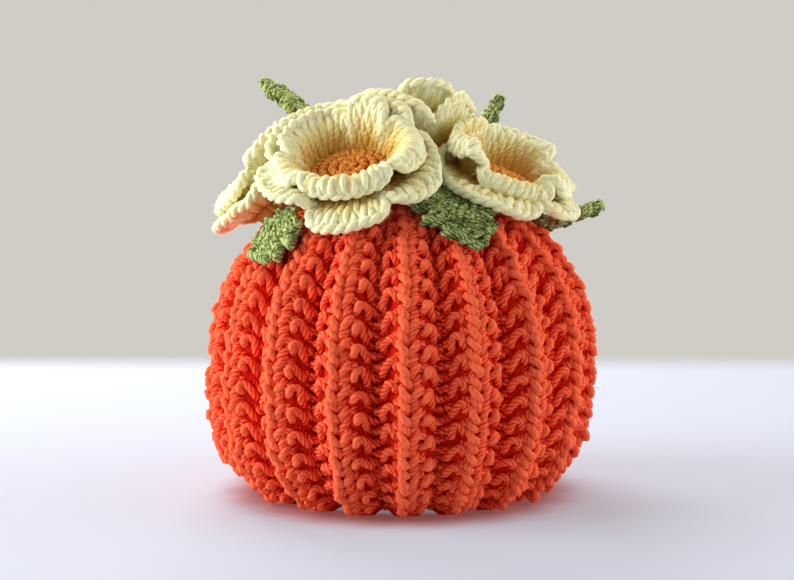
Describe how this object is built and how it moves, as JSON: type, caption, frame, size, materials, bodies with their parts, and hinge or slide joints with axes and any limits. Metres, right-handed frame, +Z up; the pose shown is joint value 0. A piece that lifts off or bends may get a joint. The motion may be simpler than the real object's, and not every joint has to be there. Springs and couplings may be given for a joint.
{
  "type": "tea cosy",
  "caption": "Round ribbed knitted tea cosy in two panels with slits for spout and handle, crowned with crocheted cream flowers and green leaves.",
  "frame": {"origin": "on the ground under the cosy's upright axis, in the middle of its hem", "axes": "+Z up through the crown, -Y to the front, +X to the handle slit, -X to the spout slit"},
  "size_m": [0.1616, 0.1613, 0.1736],
  "materials": {
    "orange_wool": "thick plied wool, knitted in ribs, matt and slightly fuzzy",
    "cream_wool": "plied wool, crocheted petals, matt and slightly fuzzy",
    "mustard_wool": "plied wool, crocheted in rounds, matt",
    "sage_wool": "plied wool, knobbly crochet, matt"
  },
  "bodies": {
    "root": {"front_panel": "orange_wool", "back_panel": "orange_wool", "flower_front_outer_petals": "cream_wool", "flower_front_centre": "mustard_wool", "flower_front_inner_petals": "cream_wool", "flower_right_outer_petals": "cream_wool", "flower_right_centre": "mustard_wool", "flower_right_inner_petals": "cream_wool", "flower_left_outer_petals": "cream_wool", "flower_left_centre": "mustard_wool", "flower_left_inner_petals": "cream_wool", "flower_back_outer_petals": "cream_wool", "flower_back_centre": "mustard_wool", "flower_back_inner_petals": "cream_wool", "leaf_front_left": "sage_wool", "leaf_front_right": "sage_wool", "leaf_upper_left": "sage_wool", "leaf_right": "sage_wool", "leaf_back_right": "sage_wool"}
  },
  "joints": []
}
